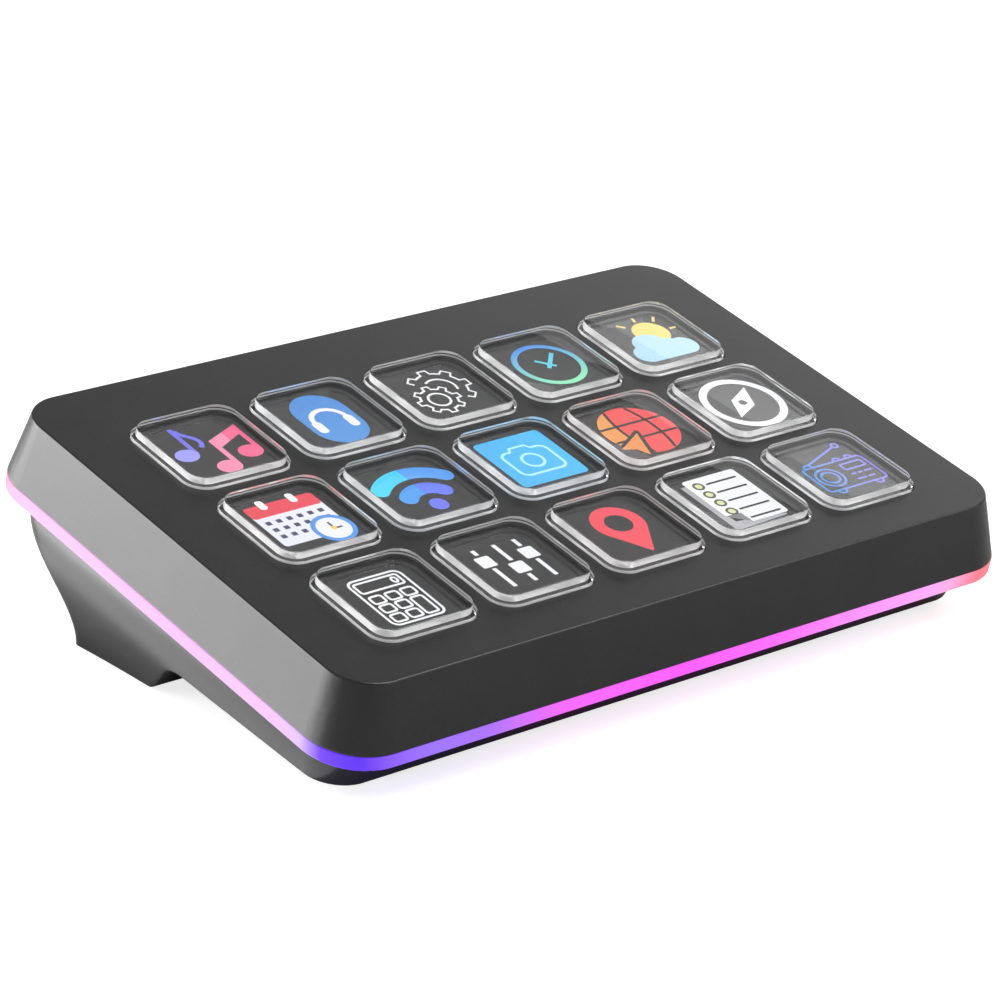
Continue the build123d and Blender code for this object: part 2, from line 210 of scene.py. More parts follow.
def displayFront():  # dark glass over a fine cell grid
    finish, tree, shader = newFinish("displayFront")
    coords = objectCoords(tree)
    cells = addNode(tree, "ShaderNodeTexChecker", None, Scale=1 / (screenLook["cell"] * mm))
    cells.inputs["Color1"].default_value = (*screenLook["off"], 1)
    cells.inputs["Color2"].default_value = (*screenLook["paler"], 1)
    tree.links.new(coords, cells.inputs["Vector"])
    tree.links.new(cells.outputs["Color"], shader.inputs["Base Color"])
    smudge = noise(tree, coords, screenLook["smudge"])
    tree.links.new(spread(tree, smudge, *screenLook["roughness"]), shader.inputs["Roughness"])
    shader.inputs["Specular IOR Level"].default_value = screenLook["gloss"]
    return finish


# Glow round the ring, as shares of a turn from the left side by way of the front
ringLook = {
    "glow": [(0.0, (0.95, 0.43, 0.92)), (0.055, (0.86, 0.44, 0.92)), (0.074, (0.68, 0.46, 0.94)),
             (0.081, (0.15, 0.04, 0.88)), (0.093, (0.10, 0.02, 0.92)), (0.103, (0.29, 0.12, 1)),
             (0.112, (0.34, 0.18, 1)), (0.130, (0.40, 0.16, 1)), (0.160, (0.92, 0.14, 0.98)),
             (0.24, (1, 0.10, 0.98)), (0.31, (1, 0.15, 1)), (0.383, (1, 0.40, 1)),
             (0.391, (0.98, 0.42, 0.74)), (0.399, (0.95, 0.20, 0.25)), (0.47, (1, 0.34, 0.12)),
             (0.56, (1, 0.62, 0.18)), (0.62, (0.45, 1, 0.30)), (0.70, (0.12, 0.85, 1)),
             (0.80, (0.12, 0.16, 1)), (0.87, (0.75, 0.16, 1)), (0.905, (1, 0.28, 0.30)),
             (0.93, (0.96, 0.48, 0.86))],
    "strength": (0.9, 1.1), "lampPitch": 15.0, "body": (0.03, 0.02, 0.03), "gloss": 0.15,
    "grain": 0.3, "roughness": (0.40, 0.52),
}


def glowingRing():
    finish, tree, shader = newFinish("ringGlow")
    coords = objectCoords(tree)
    turn = addNode(tree, "ShaderNodeTexGradient", {"gradient_type": "RADIAL"})
    tree.links.new(coords, turn.inputs["Vector"])
    stops = ringLook["glow"] + [(1.0, ringLook["glow"][0][1])]  # the turn ends on the colour it starts with
    tree.links.new(ramp(tree, turn.outputs["Fac"], stops), shader.inputs["Emission Color"])
    cloud = noise(tree, coords, ringLook["lampPitch"], detail=1.0)
    tree.links.new(spread(tree, cloud, *ringLook["strength"]), shader.inputs["Emission Strength"])
    shader.inputs["Base Color"].default_value = (*ringLook["body"], 1)
    shader.inputs["Specular IOR Level"].default_value = ringLook["gloss"]
    grain = noise(tree, coords, ringLook["grain"])
    tree.links.new(spread(tree, grain, *ringLook["roughness"]), shader.inputs["Roughness"])
    return finish


slotFinish = {slot: grainedFinish(slot, look) for slot, look in finishes.items()}
slotFinish["key_clear"] = clearCap("keyClear", capLook["face"])
slotFinish["display_glass"] = displayFront()
slotFinish["ring_plastic"] = glowingRing()
subparts = frame["record"]["subparts"]
for part in subparts:
    for place in nodes[part["node"]].material_slots:
        place.material = slotFinish[part["material_slot"]]
print("finishes set:", len(slotFinish))

# Node trees: outlines filled to a plate, strokes along a line, rows of tiles, and a piece set on points

treeLook = {"weld": 0.0005, "cornerSteps": 4}


def newTree(name, inputs):
    tree = bpy.data.node_groups.new(name, "GeometryNodeTree")
    tree.interface.new_socket("Geometry", in_out="INPUT", socket_type="NodeSocketGeometry")
    for label, kind in inputs:
        tree.interface.new_socket(label, in_out="INPUT", socket_type="NodeSocket" + kind)
    tree.interface.new_socket("Geometry", in_out="OUTPUT", socket_type="NodeSocketGeometry")
    return tree, tree.nodes.new("NodeGroupInput").outputs, tree.nodes.new("NodeGroupOutput").inputs


def finishTree(tree, source, finishInput, end):
    realize = tree.nodes.new("GeometryNodeRealizeInstances")
    paint = tree.nodes.new("GeometryNodeSetMaterial")
    tree.links.new(source, realize.inputs["Geometry"])
    tree.links.new(realize.outputs["Geometry"], paint.inputs["Geometry"])
    tree.links.new(finishInput, paint.inputs["Material"])
    tree.links.new(paint.outputs["Geometry"], end["Geometry"])


def closedPlate(tree, curve, thick):  # an outline filled and raised, with its underside
    fill = tree.nodes.new("GeometryNodeFillCurve")
    fill.mode = "TRIANGLES"
    lift = tree.nodes.new("GeometryNodeExtrudeMesh")
    lift.inputs["Individual"].default_value = False
    flip = tree.nodes.new("GeometryNodeFlipFaces")
    join = tree.nodes.new("GeometryNodeJoinGeometry")
    weld = tree.nodes.new("GeometryNodeMergeByDistance")
    weld.inputs["Distance"].default_value = treeLook["weld"]
    tree.links.new(curve, fill.inputs["Curve"])
    tree.links.new(fill.outputs["Mesh"], lift.inputs["Mesh"])
    tree.links.new(thick, lift.inputs["Offset Scale"])
    tree.links.new(fill.outputs["Mesh"], flip.inputs["Mesh"])
    tree.links.new(lift.outputs["Mesh"], join.inputs["Geometry"])
    tree.links.new(flip.outputs["Mesh"], join.inputs["Geometry"])
    tree.links.new(join.outputs["Geometry"], weld.inputs["Geometry"])
    return weld.outputs["Geometry"]


def plateTree():
    tree, start, end = newTree("pictureFill", [("Thick", "Float"), ("Ink", "Material")])
    finishTree(tree, closedPlate(tree, start["Geometry"], start["Thick"]), start["Ink"], end)
    return tree


def strokeTree():
    tree, start, end = newTree("pictureStroke", [("Thick", "Float"), ("Ink", "Material"), ("Width", "Float")])
    flat = tree.nodes.new("GeometryNodeSetCurveNormal")
    flat.mode = "Z_UP"
    section = tree.nodes.new("GeometryNodeCurvePrimitiveQuadrilateral")
    sweep = tree.nodes.new("GeometryNodeCurveToMesh")
    sweep.inputs["Fill Caps"].default_value = True
    tree.links.new(start["Geometry"], flat.inputs["Curve"])
    tree.links.new(start["Width"], section.inputs["Width"])
    tree.links.new(start["Thick"], section.inputs["Height"])
    tree.links.new(flat.outputs["Curve"], sweep.inputs["Curve"])
    tree.links.new(section.outputs["Curve"], sweep.inputs["Profile Curve"])
    finishTree(tree, sweep.outputs["Mesh"], start["Ink"], end)
    return tree


def tileTree():
    tree, start, end = newTree("pictureTiles", [
        ("Thick", "Float"), ("Ink", "Material"), ("Columns", "Int"), ("Rows", "Int"),
        ("Span X", "Float"), ("Span Y", "Float"), ("Tile X", "Float"), ("Tile Y", "Float"),
        ("Corner", "Float")])
    grid = tree.nodes.new("GeometryNodeMeshGrid")
    tile = tree.nodes.new("GeometryNodeCurvePrimitiveQuadrilateral")
    soften = tree.nodes.new("GeometryNodeFilletCurve")
    soften.mode = "POLY"
    soften.inputs["Count"].default_value = treeLook["cornerSteps"]
    repeat = tree.nodes.new("GeometryNodeInstanceOnPoints")
    for label, socket in (("Columns", "Vertices X"), ("Rows", "Vertices Y"),
                          ("Span X", "Size X"), ("Span Y", "Size Y")):
        tree.links.new(start[label], grid.inputs[socket])
    tree.links.new(start["Tile X"], tile.inputs["Width"])
    tree.links.new(start["Tile Y"], tile.inputs["Height"])
    tree.links.new(tile.outputs["Curve"], soften.inputs["Curve"])
    tree.links.new(start["Corner"], soften.inputs["Radius"])
    tree.links.new(grid.outputs["Mesh"], repeat.inputs["Points"])
    tree.links.new(closedPlate(tree, soften.outputs["Curve"], start["Thick"]), repeat.inputs["Instance"])
    finishTree(tree, repeat.outputs["Instances"], start["Ink"], end)
    return tree


def scatterTree():
    tree, start, end = newTree("scatter", [("Piece", "Object"), ("Ink", "Material")])
    piece = tree.nodes.new("GeometryNodeObjectInfo")
    repeat = tree.nodes.new("GeometryNodeInstanceOnPoints")
    tree.links.new(start["Piece"], piece.inputs["Object"])
    tree.links.new(start["Geometry"], repeat.inputs["Points"])
    tree.links.new(piece.outputs["Geometry"], repeat.inputs["Instance"])
    finishTree(tree, repeat.outputs["Instances"], start["Ink"], end)
    return tree


trees = {"fill": plateTree(), "stroke": strokeTree(), "tiles": tileTree(), "scatter": scatterTree()}


def runTree(kind, lines, **values):  # lines of (points, closed), in millimetres, to a plain mesh
    curve = bpy.data.curves.new("draft", "CURVE")
    curve.dimensions = "3D"
    for points, closed in lines:
        spline = curve.splines.new("POLY")
        spline.points.add(len(points) - 1)
        for point, (x, y) in zip(spline.points, points):
            point.co = (x, y, 0, 1)
        spline.use_cyclic_u = closed
    draft = bpy.data.objects.new("draft", curve)
    bpy.context.scene.collection.objects.link(draft)
    step = draft.modifiers.new("picture", "NODES")
    step.node_group = trees[kind]
    for item in trees[kind].interface.items_tree:
        if item.in_out == "INPUT" and item.name in values:
            step[item.identifier] = values[item.name]
    made = draft.evaluated_get(bpy.context.evaluated_depsgraph_get())
    mesh = bpy.data.meshes.new_from_object(made)
    bpy.data.objects.remove(draft)
    return mesh


# Flat outlines in millimetres

def arc(x, y, radius, start, end, count=24):
    turns = [radians(start + (end - start) * n / count) for n in range(count + 1)]
    return [(x + radius * cos(t), y + radius * sin(t)) for t in turns]


def circle(x, y, radius, count=36):
    return arc(x, y, radius, 0, 360, count)[:-1]


def oval(x, y, across, along, count=32):
    return [(x + across * cos(tau * n / count), y + along * sin(tau * n / count)) for n in range(count)]


def softBox(x, y, width, height, corner, count=6):
    points = []
    for n, (sx, sy) in enumerate(((1, 1), (-1, 1), (-1, -1), (1, -1))):
        at = (x + sx * (width / 2 - corner), y + sy * (height / 2 - corner))
        points += arc(*at, corner, 90 * n, 90 * n + 90, count)
    return points


def closedLines(*outlines):
    return [(points, True) for points in outlines]


def openLines(*outlines):
    return [(points, False) for points in outlines]


toothShares = (-0.27, -0.18, 0.18, 0.27, 0.5)  # of a pitch: foot, tip, tip, foot, gap


def cog(x, y, root, tip, teeth):
    points = []
    for n in range(teeth):
        for share, radius in zip(toothShares, (root, tip, tip, root, root)):
            turn = tau * (n + share) / teeth
            points.append((x + radius * cos(turn), y + radius * sin(turn)))
    return points


def apartFrom(points, x, y, reach):  # the stretches of a closed outline that stay clear of a circle
    clear = [hypot(px - x, py - y) > reach for px, py in points]
    if all(clear):
        return [(points, True)]
    start = next(n for n in range(len(points)) if clear[n] and not clear[n - 1])
    runs, run = [], []
    for n in range(len(points)):
        at = (start + n) % len(points)
        if clear[at]:
            run.append(points[at])
        elif run:
            runs.append((run, False))
            run = []
    return [r for r in runs + [(run, False)] if len(r[0]) > 1]


# Key caps: the CAD cap's sections with eased edges and a slightly domed crown, in millimetres under its top

capShape = {"side": 18.66, "corner": 3.5, "cornerSteps": 12,
            "flange": 0.75, "flangeHigh": 2.55, "flangeLow": 3.05,
            "inset": 0.7, "rim": 1.15, "rimEdge": 0.08, "edge": 0.14, "hold": 0.03,
            "dome": 0.03, "bend": 1000.0, "crown": (1, 0.85, 0.7, 0.55, 0.4, 0.2), "steep": 0.35}
easedTurns = [radians(t) for t in (0, 30, 60, 90)]
sharpFrom = radians(40)


def capRings(depth):  # closed sections from the underside up to the crown's middle
    cap = capShape

    def ring(inset, height):
        side = cap["side"] - 2 * inset
        plan = softBox(0, 0, side, side, cap["corner"] - inset, cap["cornerSteps"])
        return [(x, y, height(x, y) if callable(height) else height) for x, y in plan]

    def domeLess(drop):
        return lambda x, y: cap["dome"] - (x * x + y * y) / (2 * cap["bend"]) - drop

    def eased(inset, radius, top):
        return [ring(inset + radius * (1 - cos(t)), top(radius * (1 - sin(t)))) for t in easedTurns]

    hold = cap["hold"]
    rings = [ring(cap["rimEdge"], -depth), ring(0, cap["rimEdge"] - depth), ring(0, -cap["flangeLow"]),
             ring(-cap["flange"], -cap["flangeLow"]), ring(-cap["flange"], -cap["flangeHigh"]),
             ring(0, -cap["flangeHigh"]), ring(0, -cap["rim"] - cap["rimEdge"] - hold)]
    rings += eased(0, cap["rimEdge"], lambda drop: -cap["rim"] - drop)
    rings += [ring(cap["rimEdge"] + hold, -cap["rim"]), ring(cap["inset"], -cap["rim"])]
    rings += [ring(cap["inset"], domeLess(cap["edge"] + hold))]
    rings += eased(cap["inset"], cap["edge"], domeLess)
    last = ring(cap["inset"] + cap["edge"] + hold, domeLess(0))
    for share in cap["crown"]:
        plan = [(x * share, y * share) for x, y, z in last]
        rings.append([(x, y, domeLess(0)(x, y)) for x, y in plan])
    return rings


def skin(name, rings, tip):  # a closed skin over rings of as many points each, ending in a tip
    count = len(rings[0])
    points = [p for ring in rings for p in ring] + [tip]
    faces = [tuple(range(count))[::-1]]
    for level in range(len(rings) - 1):
        for n in range(count):
            low1, low2 = level * count + n, level * count + (n + 1) % count
            faces.append((low1, low2, low2 + count, low1 + count))
    first = (len(rings) - 1) * count
    faces += [(first + n, first + (n + 1) % count, len(points) - 1) for n in range(count)]
    mesh = bpy.data.meshes.new(name)
    mesh.from_pydata(points, [], faces)
    mesh.shade_smooth()
    mesh.set_sharp_from_angle(angle=sharpFrom)
    return mesh


def addPiece(name, mesh, node):
    piece = bpy.data.objects.new(name, mesh)
    bpy.context.scene.collection.objects.link(piece)
    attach(piece, node)
    return piece


# the caps' walls: satin glass with a painted glow
capWallPaintedGlow = clearCap("keyWallPaintedGlow", capLook["wall"])


def makeCap(node):
    low, high = deckSpan(node)
    mesh = skin("cap_" + node, capRings((high.z - low.z) / mm), (0, 0, capShape["dome"]))
    mesh.transform(deckPlace((low.x + high.x) / 2, (low.y + high.y) / 2, high.z))
    mesh.materials.append(slotFinish["key_clear"])
    mesh.materials.append(capWallPaintedGlow)
    for face in mesh.polygons:
        face.material_index = int(abs(face.normal.dot(deckUp)) < capShape["steep"])
    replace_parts(addPiece("cap_" + node, mesh, node), node)


keys = [part["node"] for part in subparts if part["material_slot"] == "key_clear"]
for key in keys:
    makeCap(key)
print("caps made:", len(keys))

# Socket contacts: a row of plated pads on each face of the tongue, in millimetres

contactLook = {
    "count": 12, "pitch": 0.5, "width": 0.28, "length": 3.6, "corner": 0.06, "thick": 0.02, "setback": 0.5,
    "plating": {"tone": (0.72, 0.47, 0.17), "paler": (0.83, 0.58, 0.25), "mottle": 1, "grain": 0.1,
                "roughness": (0.2, 0.32), "bite": 0.05, "depth": 0.004, "metal": 1},
}


def makeContacts():
    look = contactLook
    low, high = deckSpan("usb_tongue")
    plating = grainedFinish("contactPlating", look["plating"])
    row = {"Columns": look["count"], "Rows": 1, "Corner": look["corner"],
           "Span X": look["pitch"] * (look["count"] - 1), "Span Y": 0.0,
           "Tile X": look["width"], "Tile Y": look["length"]}
    middle = (low.x + high.x) / 2
    back = high.y - (look["setback"] + look["length"] / 2) * mm
    whole = bmesh.new()
    for level, turn in ((high.z, 0), (low.z, 180)):
        mesh = runTree("tiles", [], Thick=look["thick"], Ink=plating, **row)
        mesh.transform(deckPlace(middle, back, level) @ Matrix.Rotation(radians(turn), 4, "Y"))
        whole.from_mesh(mesh)
        bpy.data.meshes.remove(mesh)
    mesh = bpy.data.meshes.new("socket_contacts")
    whole.to_mesh(mesh)
    whole.free()
    mesh.materials.append(plating)
    addPiece("socket_contacts", mesh, "housing")


makeContacts()

# Base screws: six-sided sockets in flat heads, in millimetres from the head's face

screwShape = {"head": 2.1, "headHigh": 1.6, "edge": 0.25, "socket": 1.0, "socketSides": 6, "socketDeep": 0.9,
              "lead": 0.1, "shank": 1.1, "tip": 0.3, "count": 36}


def screwRings(length):
    screw = screwShape
    socket, lead, shank, sides = screw["socket"], screw["lead"], screw["shank"], screw["socketSides"]

    def ring(radius, height, flats=0):
        points = []
        for n in range(screw["count"]):
            turn = tau * n / screw["count"]
            flat = cos(pi / flats) / cos(turn % (tau / flats) - pi / flats) if flats else 1
            points.append((radius * flat * cos(turn), radius * flat * sin(turn), height))
        return points

    rings = [ring(socket, screw["socketDeep"], sides), ring(socket, lead, sides), ring(socket + lead, 0)]
    for turn in easedTurns:
        ease = screw["edge"] * (1 - sin(turn))
        rings.append(ring(screw["head"] - ease, screw["edge"] * (1 - cos(turn))))
    rings += [ring(screw["head"], screw["headHigh"]), ring(shank, screw["headHigh"])]
    return rings + [ring(shank, length - screw["tip"]), ring(shank - screw["tip"], length)]


def screwPlaces(node):  # one screw in each quarter of the node
    low, high = deckSpan(node)
    quarters = {}
    for v in nodes[node].data.vertices:
        x, y = v.co.dot(deckRight), v.co.dot(deckBack)
        quarter = (x > (low.x + high.x) / 2, y > (low.y + high.y) / 2)
        quarters.setdefault(quarter, []).append((x, y))
    places = []
    for points in quarters.values():
        places.append(tuple((min(along) + max(along)) / 2 / mm for along in zip(*points)))
    return places


def makeScrews(node):
    low, high = deckSpan(node)
    length = (high.z - low.z) / mm
    one = bpy.data.objects.new("draftScrew", skin("draftScrew", screwRings(length), (0, 0, length)))
    bpy.context.scene.collection.objects.link(one)
    mesh = runTree("scatter", [(screwPlaces(node), False)], Piece=one, Ink=slotFinish["screw_steel"])
    bpy.data.objects.remove(one)
    mesh.transform(deckPlace(0, 0, low.z))
    mesh.name = node + "_socketed"
    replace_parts(addPiece(node + "_socketed", mesh, "housing"), node)


makeScrews("base_screws")
print("contacts and screws made")

# Key mat, in millimetres: a thin sheet, and a soft collar round each opening

matShape = {"gap": 0.2, "wall": 0.5, "sheet": 0.2, "corner": 3.5, "travel": 0.6}


def makeMat(node, keys):
    low, high = deckSpan(node)
    finish = slotFinish["silicone"]
    side, corner = capShape["side"] + 2 * matShape["gap"], matShape["corner"] + matShape["gap"]
    wide, rest = side + 2 * matShape["wall"], low.z + matShape["sheet"] * mm
    tall = (high.z - low.z) / mm - matShape["sheet"]
    lines = closedLines(softBox(0, 0, wide, wide, corner + matShape["wall"]),
                        softBox(0, 0, side, side, corner))
    openings = []
    for key in keys:
        keyLow, keyHigh = deckSpan(key)
        x, y = (keyLow.x + keyHigh.x) / 2, (keyLow.y + keyHigh.y) / 2
        openings.append(softBox(x / mm, y / mm, side, side, corner))
        mesh = runTree("fill", lines, Thick=tall, Ink=finish)
        mesh.transform(deckPlace(x, y, rest))
        collar = addPiece(key.replace("key", "collar"), mesh, "housing")
        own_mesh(collar)
    middle, span = (low + high) / 2 / mm, (high - low) / mm
    outline = softBox(middle.x, middle.y, span.x, span.y, matShape["corner"])
    mesh = runTree("fill", closedLines(outline, *openings), Thick=matShape["sheet"], Ink=finish)
    mesh.transform(deckPlace(0, 0, low.z))
    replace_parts(addPiece(node + "_sheet", mesh, "housing"), node)


makeMat("key_mat", keys)
print("mat made")

# Inks: light from the screen, shaded from one colour to another across the picture

inkLook = {"strength": 1.03, "cell": 0.135, "dip": 0.95, "reach": 11.0,
           "body": (0.004, 0.004, 0.005), "roughness": 0.2, "gloss": 0.12}
waveRate = 20  # the Wave Texture's own factor on its scale


def srgb(*levels):  # screen levels of 0 to 255 as linear light
    return tuple((v / 255 / 12.92 if v < 11 else ((v / 255 + 0.055) / 1.055) ** 2.4) for v in levels)


def screenInk(name, first, last, centre, turn):
    finish, tree, shader = newFinish(name)
    coords = objectCoords(tree)
    across = addNode(tree, "ShaderNodeMapping", {"vector_type": "TEXTURE"})
    way = deckTurn @ Matrix.Rotation(radians(turn), 4, "Z")
    reach = inkLook["reach"] * mm
    across.inputs["Location"].default_value = centre - way.to_3x3() @ Vector((reach / 2, 0, 0))
    across.inputs["Rotation"].default_value = way.to_euler()
    across.inputs["Scale"].default_value = (reach, reach, reach)
    tree.links.new(coords, across.inputs["Vector"])
    slope = addNode(tree, "ShaderNodeTexGradient")
    tree.links.new(across.outputs["Vector"], slope.inputs["Vector"])
    tree.links.new(ramp(tree, slope.outputs["Fac"], [(0, first), (1, last)]), shader.inputs["Emission Color"])
    cells = addNode(tree, "ShaderNodeTexWave", None, Scale=1 / (inkLook["cell"] * mm) / waveRate)
    tree.links.new(coords, cells.inputs["Vector"])
    bright = inkLook["strength"]
    light = spread(tree, cells.outputs["Fac"], inkLook["dip"] * bright, bright)
    tree.links.new(light, shader.inputs["Emission Strength"])
    shader.inputs["Base Color"].default_value = (*inkLook["body"], 1)
    shader.inputs["Roughness"].default_value = inkLook["roughness"]
    shader.inputs["Specular IOR Level"].default_value = inkLook["gloss"]
    return finish


# Pictures: layers of (tree, lines, ink from and to, sizes), in millimetres from the picture's middle

white = (srgb(255, 255, 255), srgb(246, 248, 252))
dark = (srgb(14, 12, 13), srgb(18, 15, 16))


def notesPicture():
    violet, lilac = (srgb(112, 112, 236), srgb(126, 124, 244)), (srgb(160, 160, 255), srgb(166, 164, 255))
    rose, blush = (srgb(250, 92, 138), srgb(252, 102, 148)), (srgb(255, 140, 178), srgb(255, 150, 188))
    flag = [(-2.5, 6.1), (-2.25, 5.0), (-1.6, 4.15), (-0.9, 3.3), (-0.55, 2.4), (-0.65, 1.5), (-1.25, 0.65)]
    leftStem = [(0.67, -5.2), (1.6, -5.2), (1.6, -0.45), (3.9, 0.62), (3.9, 3.02), (0.67, 1.7)]
    rightStem = [(3.9, 0.62), (6.2, 1.7), (6.2, -2.9), (7.05, -2.9), (7.05, 4.3), (3.9, 3.02)]
    return [
        ("stroke", openLines([(-2.9, -0.6), (-2.9, 6.7)], flag), violet, {"Width": 0.8}),
        ("fill", closedLines(oval(-4.6, -0.45, 1.95, 1.65)), lilac, {}),
        ("fill", closedLines(leftStem), blush, {}),
        ("fill", closedLines(rightStem), rose, {}),
        ("fill", closedLines(oval(-0.45, -5.25, 2.05, 1.65)), blush, {}),
        ("fill", closedLines(oval(5.0, -2.9, 2.05, 1.65)), rose, {}),
    ]


def headphonesPicture():
    blue = (srgb(64, 142, 222), srgb(72, 150, 228))
    x, wide = 0.2, 2.9
    pads = [softBox(x + side * wide, -1.6, 1.6, 3.2, 0.7) for side in (-1, 1)]
    return [
        ("fill", closedLines(softBox(x, 0.05, 9.25, 13.9, 4.6)), blue, {}),
        ("stroke", openLines(arc(x, -0.3, wide, 0, 180)), white, {"Width": 0.85}),
        ("fill", closedLines(*pads), white, {}),
    ]


def gearsPicture():
    near, far, apart, line = (-1.75, -1.9), (0.85, 0.8), 4.65, {"Width": 0.42}
    return [
        ("stroke", apartFrom(cog(*far, 4.2, 5.25, 8), *near, apart), white, line),
        ("stroke", apartFrom(circle(*far, 2.5), *near, apart), white, line),
        ("stroke", closedLines(cog(*near, 3.0, 3.85, 8), circle(*near, 1.75)), white, line),
    ]


def clockPicture():
    rim, hands = (srgb(72, 150, 240), srgb(150, 246, 196)), (srgb(88, 204, 240), srgb(104, 226, 238))
    return [
        ("stroke", closedLines(circle(0.3, 0.05, 5.53, 48)), rim, {"Width": 1.0}),
        ("stroke", openLines([(-0.5, -0.9), (3.0, 2.75)]), hands, {"Width": 0.72}),
        ("stroke", openLines([(1.1, -0.8), (-1.3, 1.75)]), hands, {"Width": 0.6}),
    ]


def weatherPicture():
    rays = [[(-2.5, 5.6), (-1.4, 4.5)], [(1.7, 6.6), (1.35, 5.35)],
            [(5.5, 5.7), (4.4, 4.4)], [(5.5, 1.65), (6.8, 1.65)]]
    cloud = arc(-3.7, -3.55, 2.35, 270, 104, 16) + arc(-1.0, -1.4, 3.2, 172, 22, 20)
    cloud += arc(4.15, -3.5, 2.4, 100, -90, 18)
    return [
        ("stroke", openLines(*rays), (srgb(255, 226, 150), srgb(255, 220, 130)), {"Width": 0.5}),
        ("fill", closedLines(circle(1.6, 1.7, 3.2, 40)), (srgb(255, 208, 60), srgb(255, 226, 104)), {}),
        ("fill", closedLines(cloud), (srgb(170, 220, 250), srgb(186, 230, 254)), {}),
    ]


def calendarPicture():
    red, blue = (srgb(236, 58, 76), srgb(240, 66, 84)), (srgb(72, 146, 232), srgb(84, 158, 240))
    paper, slate = (srgb(238, 241, 250), srgb(246, 248, 255)), (srgb(60, 60, 100),) * 2
    dial = (3.3, -3.6)
    tabs = [softBox(x, 5.5, 1.3, 2.4, 0.6) for x in (-2.9, 2.45)]
    dates = {"Columns": 6, "Rows": 3, "Span X": 9.25, "Span Y": 3.66, "Tile X": 0.9, "Tile Y": 0.9,
             "Corner": 0.1, "at": (-0.18, -0.75)}
    return [
        ("fill", closedLines(softBox(-0.13, 0.35, 12.15, 10.6, 0.6)), paper, {}),
        ("fill", closedLines(softBox(-0.13, 4.15, 12.15, 3.05, 0.6)), red, {}),
        ("tiles", [], slate, dates),
        ("fill", closedLines(*tabs, circle(*dial, 3.4)), white, {}),
        ("stroke", closedLines(circle(*dial, 3.06)), blue, {"Width": 0.76}),
        ("stroke", openLines([(3.3, -3.5), (3.3, -2.0)], [(3.5, -3.7), (4.7, -3.7)]), slate, {"Width": 0.38}),
        ("fill", closedLines(circle(*dial, 0.45)), (srgb(255, 214, 84),) * 2, {}),
    ]


def wirelessPicture():
    x, y, wide = 0.2, -4.36, 2.9
    layers = []
    for radius, half, leftInk, rightInk in (
            (8.45, 45, (srgb(60, 222, 255), srgb(66, 204, 255)), (srgb(72, 168, 250), srgb(78, 160, 250))),
            (4.2, 50, (srgb(66, 164, 248), srgb(76, 152, 248)), (srgb(96, 128, 252), srgb(100, 120, 252)))):
        for start, end, ink in ((90, 90 + half, leftInk), (90 - half, 90, rightInk)):
            tip = end if end > 90 else start
            layers.append(("stroke", openLines(arc(x, y, radius, start, end)), ink, {"Width": wide}))
            ball = circle(x + radius * cos(radians(tip)), y + radius * sin(radians(tip)), wide / 2)
            layers.append(("fill", closedLines(ball), ink, {}))
    dotInk = (srgb(80, 128, 250), srgb(122, 106, 250))
    return layers + [("fill", closedLines(circle(0.25, -4.55, 1.5)), dotInk, {})]


def cameraPicture():
    sky, pale = (srgb(52, 184, 248), srgb(62, 194, 255)), (srgb(176, 246, 255), srgb(190, 250, 255))
    body = arc(-2.7, 1.45, 1.3, 180, 90, 6) + [(-1.8, 2.75), (-1.3, 3.65), (1.6, 3.65), (2.1, 2.75)]
    body += arc(3.2, 1.45, 1.3, 90, 0, 6) + arc(3.2, -2.3, 1.3, 0, -90, 6)
    body += arc(-2.7, -2.3, 1.3, -90, -180, 6)
    return [
        ("fill", closedLines(softBox(0.15, 0.2, 12.7, 12.8, 0.9)), sky, {}),
        ("stroke", closedLines(body, circle(0.2, -0.3, 1.75)), pale, {"Width": 0.5}),
    ]


def globePicture():
    red, amber = (srgb(244, 76, 66), srgb(250, 74, 78)), (srgb(246, 160, 74), srgb(246, 140, 70))
    x, y, wide = 0.3, 0.15, 6.5
    left, right = arc(16.05, y, 18.8, 161.2, 198.8), arc(-15.45, y, 18.8, 18.8, -18.8)
    level = [[(x - 6.15, h), (x + 6.15, h)] for h in (2.2, -1.7)]
    arrow = [(-6.3, -3.4), (-0.8, -0.5), (-3.0, -6.4), (-4.0, -4.3)]
    cutOut = [(-7.3, -3.3), (-0.5, 0.35), (-0.1, -0.2), (-2.5, -7.3), (-7.3, -7.3)]
    return [
        ("fill", closedLines(circle(x, y, wide, 56)), red, {}),
        ("fill", closedLines(arc(x, y, wide, 108.5, 251.5, 30) + left[::-1]), amber, {}),
        ("stroke", openLines(left, right, *level), dark, {"Width": 0.5}),
        ("fill", closedLines(cutOut), dark, {}),
        ("fill", closedLines(arrow), (srgb(246, 150, 70),) * 2, {}),
    ]


def compassPicture():
    needle = [(3.9, 3.7), (1.75, -1.2), (-3.1, -3.4), (-1.0, 1.3)]
    return [
        ("stroke", closedLines(circle(0.45, 0.05, 6.4, 56)), white, {"Width": 1.3}),
        ("fill", closedLines(needle, circle(0.35, 0.1, 0.7, 20)), white, {}),
    ]


def calculatorPicture():
    columns, rows, corner = (-2.67, 0.08, 2.8), (0.17, -2.17, -4.6), 0.45
    places = [(x, y) for x in columns for y in rows if x < columns[2] or y == rows[0]]
    buttons = [softBox(x, y, 2.05, 1.8, corner) for x, y in places]
    tall = softBox(columns[2], -3.4, 2.05, 4.2, corner)
    case = [softBox(0.1, -0.43, 9.2, 11.5, 1.2), softBox(0, 3.35, 7.6, 2.4, corner)]
    zero = oval(2.75, 3.35, 0.42, 0.6)
    return [
        ("stroke", closedLines(*case, zero, tall, *buttons), white, {"Width": 0.42}),
    ]


